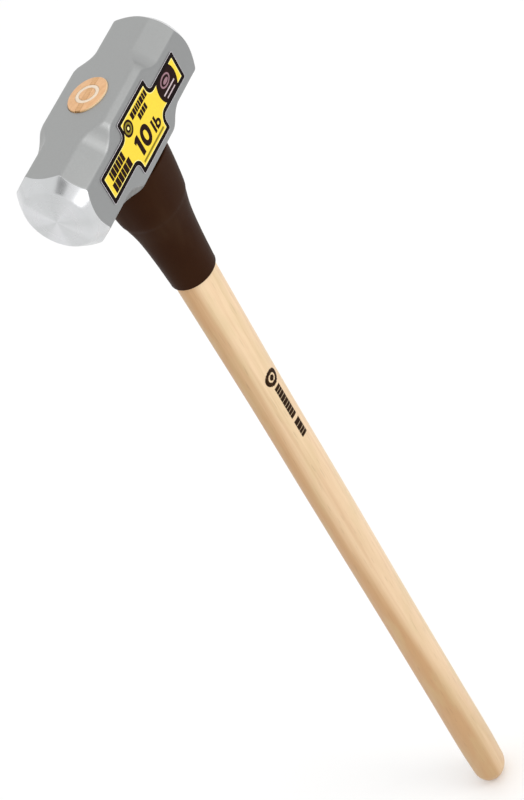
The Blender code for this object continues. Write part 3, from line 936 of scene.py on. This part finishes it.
def label_shapes():
    """Every printed area as (ink, outline), with x and z measured from the label's middle."""
    frames = [
        ("margin", label_outline(0.0)),
        ("black", label_outline(LABEL_MARGIN)),
        ("pale", label_outline(LABEL_MARGIN + LABEL_BORDER)),
        ("yellow", label_outline(LABEL_MARGIN + LABEL_BORDER + LABEL_PALE_LINE)),
    ]
    art = []
    art += block_row(-56.4 * MM, -33.0 * MM, 0.7 * MM, 8.4 * MM, 6)
    art += block_row(-59.0 * MM, -29.4 * MM, -8.2 * MM, -0.4 * MM, 6)
    art += block_row(-7.0 * MM, 20.4 * MM, 12.6 * MM, 18.2 * MM, 8)
    art += block_row(0.0 * MM, 14.2 * MM, 6.0 * MM, 11.2 * MM, 4)

    # Plain ringed disc, upper left
    badge = (-15.2 * MM, 12.6 * MM)
    art.append(("brown", disc(*badge, 6.4 * MM, 6.4 * MM)))
    art.append(("olive", disc(*badge, 4.6 * MM, 4.6 * MM)))
    art.append(("brown", disc(*badge, 3.0 * MM, 3.0 * MM)))
    art.append(("pale", disc(*badge, 1.3 * MM, 1.3 * MM)))

    # The weight: 10 lb
    art.append(("brown", [
        (-15.6 * MM, -14.0 * MM), (-11.0 * MM, -14.0 * MM), (-11.0 * MM, 2.6 * MM),
        (-14.4 * MM, 2.6 * MM), (-18.0 * MM, 0.6 * MM), (-17.4 * MM, -2.6 * MM),
        (-15.6 * MM, -1.6 * MM),
    ]))
    zero = (-2.5 * MM, -5.7 * MM)
    art.append(("brown", disc(*zero, 6.6 * MM, 8.5 * MM, squareness=2.2)))
    art.append(("yellow", disc(*zero, 2.5 * MM, 4.3 * MM, squareness=2.2)))
    art.append(("brown", block(7.6 * MM, -14.0 * MM, 10.4 * MM, -3.0 * MM)))
    art.append(("brown", block(11.8 * MM, -14.0 * MM, 14.4 * MM, -3.0 * MM)))
    bowl = (15.2 * MM, -10.6 * MM)
    art.append(("brown", disc(*bowl, 3.9 * MM, 3.5 * MM)))
    art.append(("yellow", disc(*bowl, 1.4 * MM, 1.3 * MM)))

    # A thin rule under the weight
    art.append(("olive", block(-18.2 * MM, -18.3 * MM, 18.2 * MM, -16.4 * MM)))

    # Large dark disc on the far tab, with a plain ring and two rules
    limit = LABEL_TAB_HALF_HEIGHT - LABEL_MARGIN - LABEL_BORDER / 2
    far = (44.8 * MM, 0.6 * MM)
    art.append(("brown", disc(*far, 14.2 * MM, 14.2 * MM, limit, steps=72)))
    art.append(("mauve", disc(44.4 * MM, 3.6 * MM, 7.4 * MM, 4.6 * MM)))
    art.append(("brown", disc(44.4 * MM, 3.6 * MM, 5.9 * MM, 3.3 * MM)))
    art.append(("mauve", disc(44.8 * MM, 3.0 * MM, 3.8 * MM, 1.7 * MM)))
    art.append(("white", block(35.4 * MM, -4.2 * MM, 54.2 * MM, -2.9 * MM)))
    art.append(("white", block(37.6 * MM, -8.0 * MM, 51.8 * MM, -6.9 * MM)))
    return frames, art


def build_label():
    """One closed film. Its printed side is cut along the edges of every printed area."""
    tones = {
        "margin": (rgb(0.70, 0.66, 0.69), rgb(0.60, 0.57, 0.60)),
        "black": (rgb(0.0040, 0.0010, 0.0010), rgb(0.010, 0.004, 0.004)),
        "pale": (rgb(0.90, 0.80, 0.32), rgb(0.80, 0.68, 0.20)),
        "yellow": (rgb(0.83, 0.61, 0.055), rgb(0.70, 0.50, 0.06)),
        "brown": (rgb(0.012, 0.0025, 0.0022), rgb(0.034, 0.012, 0.009)),
        "olive": (rgb(0.22, 0.17, 0.015), rgb(0.33, 0.26, 0.03)),
        "mauve": (rgb(0.30, 0.17, 0.20), rgb(0.20, 0.10, 0.12)),
        "white": (rgb(0.55, 0.45, 0.47), rgb(0.36, 0.27, 0.29)),
    }
    inks = list(tones)
    materials = [ink("label_" + name, *tones[name]) for name in inks]

    frames, art = label_shapes()
    shapes = frames + art
    points, outlines = [], []
    for _, outline in shapes:
        outlines.append(list(range(len(points), len(points) + len(outline))))
        points += [Vector(point) for point in outline]
    made = delaunay_2d_cdt(points, [], outlines, 0, 1e-7, True)
    made_points, made_faces, sources = made[0], made[2], made[5]

    skin = bmesh.new()
    front = [skin.verts.new((p.x, label_low.y, LABEL_MIDDLE + p.y)) for p in made_points]
    printable = 2               # index of the first area inside the black border
    for corners, source in zip(made_faces, sources):
        if 0 not in source:
            continue
        inside = max(source) if printable in source else max(i for i in source if i < printable)
        face = skin.faces.new([front[i] for i in corners])
        face.material_index = inks.index(shapes[inside][0])
    bmesh.ops.delete(skin, geom=[v for v in skin.verts if not v.link_faces], context="VERTS")
    rim = [edge for edge in skin.edges if len(edge.link_faces) == 1]
    pulled = bmesh.ops.extrude_edge_only(skin, edges=rim)["geom"]
    for vert in (v for v in pulled if isinstance(v, bmesh.types.BMVert)):
        vert.co.y = label_high.y
    back = [e for e in pulled if isinstance(e, bmesh.types.BMEdge) and len(e.link_faces) == 1]
    bmesh.ops.contextual_create(skin, geom=back)
    label = link_mesh("label_sticker", skin, materials, sharp_angle=radians(30))
    attach(label, "label_film", "label")


# ---------------------------------------------------------------- studio

def build_floor():
    skin = bmesh.new()
    bmesh.ops.create_circle(skin, cap_ends=True, segments=96, radius=FLOOR_RADIUS)
    floor = link_mesh("floor", skin, [floor_finish()])


def add_softbox(name, place, aim, size, watts):
    light = bpy.data.lights.new(name, "AREA")
    light.shape = "DISK"
    light.size = size
    light.energy = watts
    box = bpy.data.objects.new(name, light)
    box.location = place
    box.rotation_mode = "QUATERNION"
    box.rotation_quaternion = (Vector(aim) - Vector(place)).to_track_quat("-Z", "Y")
    bpy.context.scene.collection.objects.link(box)


def spot(tree, direction, inner, outer):
    """A soft round patch of the sky: 1 within the inner angle of a direction, 0 past the outer."""
    place = tree.nodes.new("ShaderNodeTexCoord").outputs["Generated"]
    along = tree.nodes.new("ShaderNodeVectorMath")
    along.operation = "DOT_PRODUCT"
    feed(tree, along.inputs[0], place)
    feed(tree, along.inputs[1], Vector(direction).normalized())
    edge = tree.nodes.new("ShaderNodeMapRange")
    edge.interpolation_type = "SMOOTHSTEP"
    feed(tree, edge.inputs["Value"], along.outputs["Value"])
    feed(tree, edge.inputs["From Min"], cos(outer))
    feed(tree, edge.inputs["From Max"], cos(inner))
    return edge.outputs[0]


def build_world():
    """White sky with one dark and one bright patch, placed for the near bevel to reflect."""
    world = bpy.data.worlds.new("studio")
    world.use_nodes = True
    tree = world.node_tree
    tone = rgb(1.0, 1.0, 1.0)
    for direction, inner, outer, brightness in SKY_PATCHES:
        mix = tree.nodes.new("ShaderNodeMix")
        mix.data_type = "RGBA"
        feed(tree, mix.inputs["Factor"], spot(tree, direction, inner, outer))
        feed(tree, mix.inputs[6], tone)
        feed(tree, mix.inputs[7], rgb(brightness, brightness, brightness))
        tone = mix.outputs[2]
    backdrop = tree.nodes["Background"]
    feed(tree, backdrop.inputs["Color"], tone)
    feed(tree, backdrop.inputs["Strength"], SKY_STRENGTH)
    bpy.context.scene.world = world


def build_lights():
    build_world()
    add_softbox("key_light", place=(0.35, -1.9, 2.1), aim=(0.0, 0.0, 0.75), size=1.2, watts=12)


def build_camera():
    data = bpy.data.cameras.new("camera")
    data.lens = CAMERA_LENS_MM
    data.sensor_width = SENSOR_MM
    data.clip_start = 0.05
    camera = bpy.data.objects.new("camera", data)
    level = cos(CAMERA_ELEVATION)
    back = Vector((sin(CAMERA_AZIMUTH) * level, -cos(CAMERA_AZIMUTH) * level,
                   sin(CAMERA_ELEVATION)))
    camera.location = CAMERA_AIM + back * CAMERA_DISTANCE
    camera.rotation_mode = "QUATERNION"
    upright = (-back).to_track_quat("-Z", "Y")
    camera.rotation_quaternion = upright @ Quaternion((0, 0, 1), -CAMERA_ROLL)
    bpy.context.scene.collection.objects.link(camera)
    bpy.context.scene.camera = camera


build_head()
build_handle_and_wedges()
build_handle_print()
build_guard()
build_label()
build_floor()
build_lights()
build_camera()
bpy.context.scene.view_settings.view_transform = "Standard"
